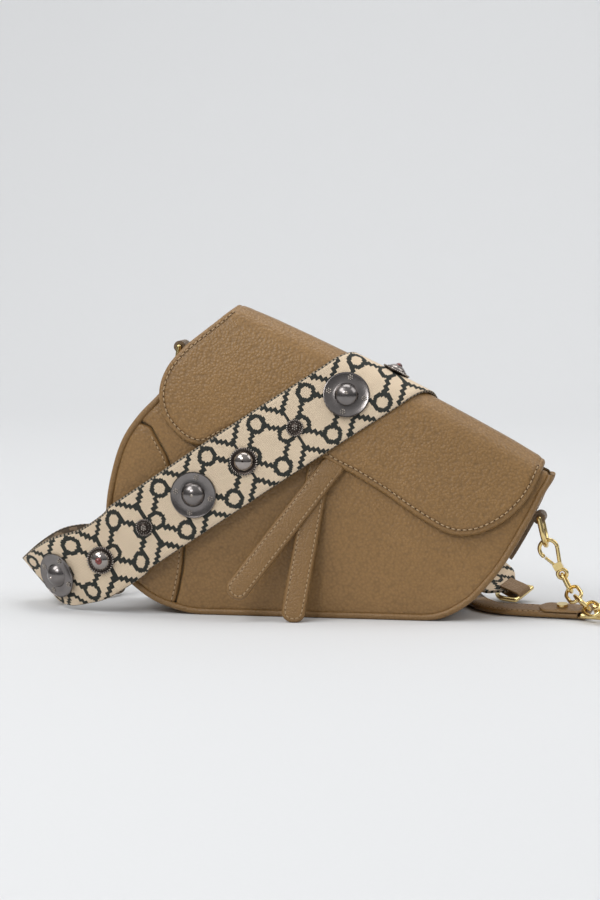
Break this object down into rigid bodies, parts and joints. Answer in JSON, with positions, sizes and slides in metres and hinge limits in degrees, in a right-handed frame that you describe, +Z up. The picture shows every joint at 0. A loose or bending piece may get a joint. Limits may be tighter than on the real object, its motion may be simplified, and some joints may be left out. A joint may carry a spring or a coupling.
{
  "type": "handbag",
  "caption": "Saddle-shaped leather handbag with a slanted flap, hanging tabs, a studded woven shoulder strap laid over it and a chain strap on the floor.",
  "frame": {"origin": "centre of the flat underside that the bag stands on, at the floor", "axes": "+X to the bag's right as its front is seen, +Y from the front to the back, +Z up"},
  "size_m": [0.3822, 0.218, 0.1881],
  "materials": {
    "leather": "pebbled taupe",
    "dark_leather": "smooth, dark taupe",
    "lining": "soft suede-like",
    "board": "matte",
    "gold": "polished",
    "gunmetal": "dark polished",
    "webbing": "woven pattern in cream and charcoal"
  },
  "bodies": {
    "bag": {"front_panel": "leather", "front_side_panel": "leather", "back_panel": "leather", "gusset": "leather", "front_edge_roll": "leather", "back_edge_roll": "leather", "lining": "lining", "base_board": "board", "inner_pocket": "lining", "magnet_socket": "gold", "right_ring_tab": "dark_leather", "left_ring_tab": "dark_leather", "hook_link": "gold", "chain_link_1": "gold", "chain_link_2": "gold", "chain_link_3": "gold", "chain_link_4": "gold", "chain_link_5": "gold", "chain_link_6": "gold", "chain_link_7": "gold", "right_strap_ring": "gold", "right_strap_end": "leather", "right_end_stud": "gold", "shoulder_strap": "leather", "left_strap_end": "leather", "left_end_stud": "gold", "left_strap_ring": "gold", "left_chain": "gold", "left_hook": "gold", "woven_strap_back": "webbing", "strap_studs_back": "gunmetal", "back_end_tab": "leather"},
    "flap": {"flap_outer": "leather", "flap_lining": "lining", "magnet_plug": "gold", "tab_anchor": "leather", "woven_strap_front": "webbing", "strap_studs_large": "gunmetal", "strap_studs_middle": "gunmetal", "strap_studs_small": "gunmetal", "front_end_tab": "leather"},
    "hanging_tabs": {"left_hanging_tab": "leather", "right_hanging_tab": "leather"},
    "right_ring": {"right_d_ring": "gold"},
    "right_hook": {"right_hook": "gold"},
    "right_gate": {"right_hook_gate": "gold"},
    "left_ring": {"left_d_ring": "gold"},
    "left_gate": {"left_hook_gate": "gold"},
    "front_end_ring": {"front_end_ring": "gold"},
    "back_end_ring": {"back_end_ring": "gold"}
  },
  "joints": [
    {"name": "flap_hinge", "type": "hinge", "parent": "bag", "child": "flap", "pos_m": [0.04089, 0.0133, 0.13195], "axis": [-0.8973, 0, 0.4415], "range_deg": [0, 120]},
    {"name": "tabs_lift", "type": "hinge", "parent": "flap", "child": "hanging_tabs", "pos_m": [0.01995, -0.0264, 0.09488], "axis": [-0.8973, 0, 0.4415], "range_deg": [0, 16]},
    {"name": "right_ring_swing", "type": "hinge", "parent": "bag", "child": "right_ring", "pos_m": [0.14109, 0, 0.06004], "axis": [0, 1, 0], "range_deg": [-5, 1.5]},
    {"name": "right_hook_swing", "type": "hinge", "parent": "right_ring", "child": "right_hook", "pos_m": [0.14502, 0, 0.04299], "axis": [0, 1, 0], "range_deg": [-2.9, 9.6]},
    {"name": "right_gate_turn", "type": "hinge", "parent": "right_hook", "child": "right_gate", "pos_m": [0.15107, 0, 0.03032], "axis": [0, 1, 0], "range_deg": [0, 22], "stiffness_Nm_per_rad": 0.01, "springref_deg": -8.59},
    {"name": "left_ring_lift", "type": "hinge", "parent": "bag", "child": "left_ring", "pos_m": [-0.0786, 0, 0.16069], "axis": [0, 1, 0], "range_deg": [0, 80]},
    {"name": "left_gate_turn", "type": "hinge", "parent": "bag", "child": "left_gate", "pos_m": [-0.13724, 0.15197, 0.00498], "axis": [-0.1594, -0.2588, 0.9527], "range_deg": [0, 22], "stiffness_Nm_per_rad": 0.01, "springref_deg": -8.59},
    {"name": "front_end_ring_swing", "type": "hinge", "parent": "flap", "child": "front_end_ring", "pos_m": [-0.1275, 0.06, 0.02405], "axis": [0, 0, 1], "range_deg": [-40, 40]},
    {"name": "back_end_ring_swing", "type": "hinge", "parent": "bag", "child": "back_end_ring", "pos_m": [0.12737, 0.04795, 0.00562], "axis": [0.4591, 0.8372, 0.2971], "range_deg": [-3, 3]}
  ],
  "couplings": [
    {"joint": "right_hook_swing", "follows": "right_ring_swing", "ratio": -1.8929}
  ]
}
